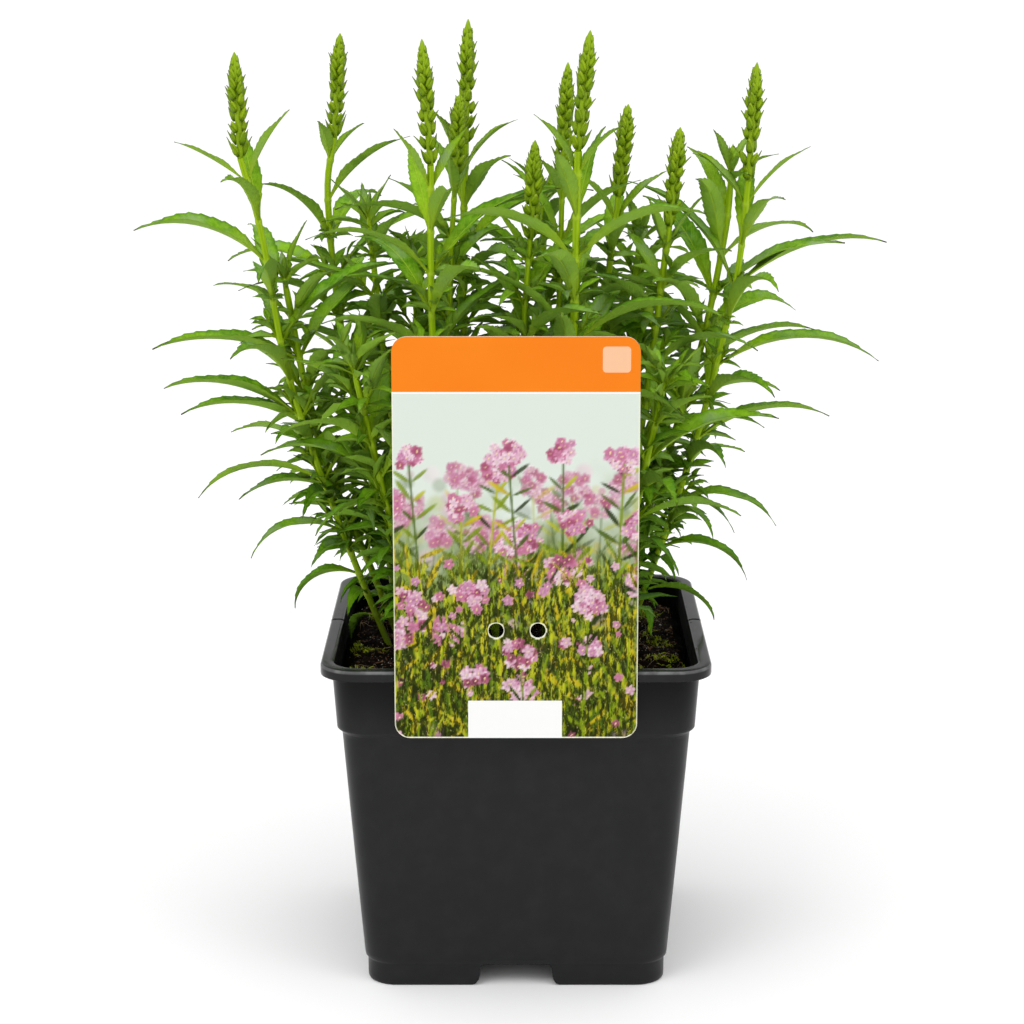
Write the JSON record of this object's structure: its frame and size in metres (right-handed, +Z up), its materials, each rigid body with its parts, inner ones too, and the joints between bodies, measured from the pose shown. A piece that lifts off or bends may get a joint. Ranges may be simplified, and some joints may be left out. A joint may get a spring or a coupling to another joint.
{
  "type": "potted obedient plant",
  "caption": "Square black nursery pot of soil with leafy upright stems ending in green flower spikes in bud, and a tall plant label hooked over the rim.",
  "frame": {"origin": "centre of the pot's base, at the level of the surface it stands on", "axes": "+Z up along the plant, -Y towards the label, +X to the right seen from the label's side"},
  "size_m": [0.257, 0.1445, 0.3221],
  "materials": {
    "pot_plastic": "satin, finely grained",
    "soil": "rough, moist peat and bark",
    "label_sheet": "semi-gloss print",
    "hook_plastic": "satin",
    "leaf_and_stem": "satin leaf",
    "flower_bud": "satin bud"
  },
  "bodies": {
    "root": {"pot": "pot_plastic", "soil": "soil", "label": "label_sheet", "label_hook": "hook_plastic", "stem_01": "leaf_and_stem", "stem_02": "leaf_and_stem", "stem_03": "leaf_and_stem", "stem_04": "leaf_and_stem", "stem_05": "leaf_and_stem", "stem_06": "leaf_and_stem", "stem_07": "leaf_and_stem", "stem_08": "leaf_and_stem", "stem_09": "leaf_and_stem", "stem_10": "leaf_and_stem", "stem_11": "leaf_and_stem", "stem_12": "leaf_and_stem", "stem_13": "leaf_and_stem", "stem_14": "leaf_and_stem", "stem_15": "leaf_and_stem", "stem_16": "leaf_and_stem", "stem_17": "leaf_and_stem", "stem_18": "leaf_and_stem", "stem_19": "leaf_and_stem", "stem_20": "leaf_and_stem", "flower_spike_01": "flower_bud", "flower_spike_02": "flower_bud", "flower_spike_03": "flower_bud", "flower_spike_04": "flower_bud", "flower_spike_05": "flower_bud", "flower_spike_06": "flower_bud", "flower_spike_07": "flower_bud", "flower_spike_08": "flower_bud", "flower_spike_09": "flower_bud", "flower_spike_10": "flower_bud", "flower_spike_11": "flower_bud"}
  },
  "joints": []
}
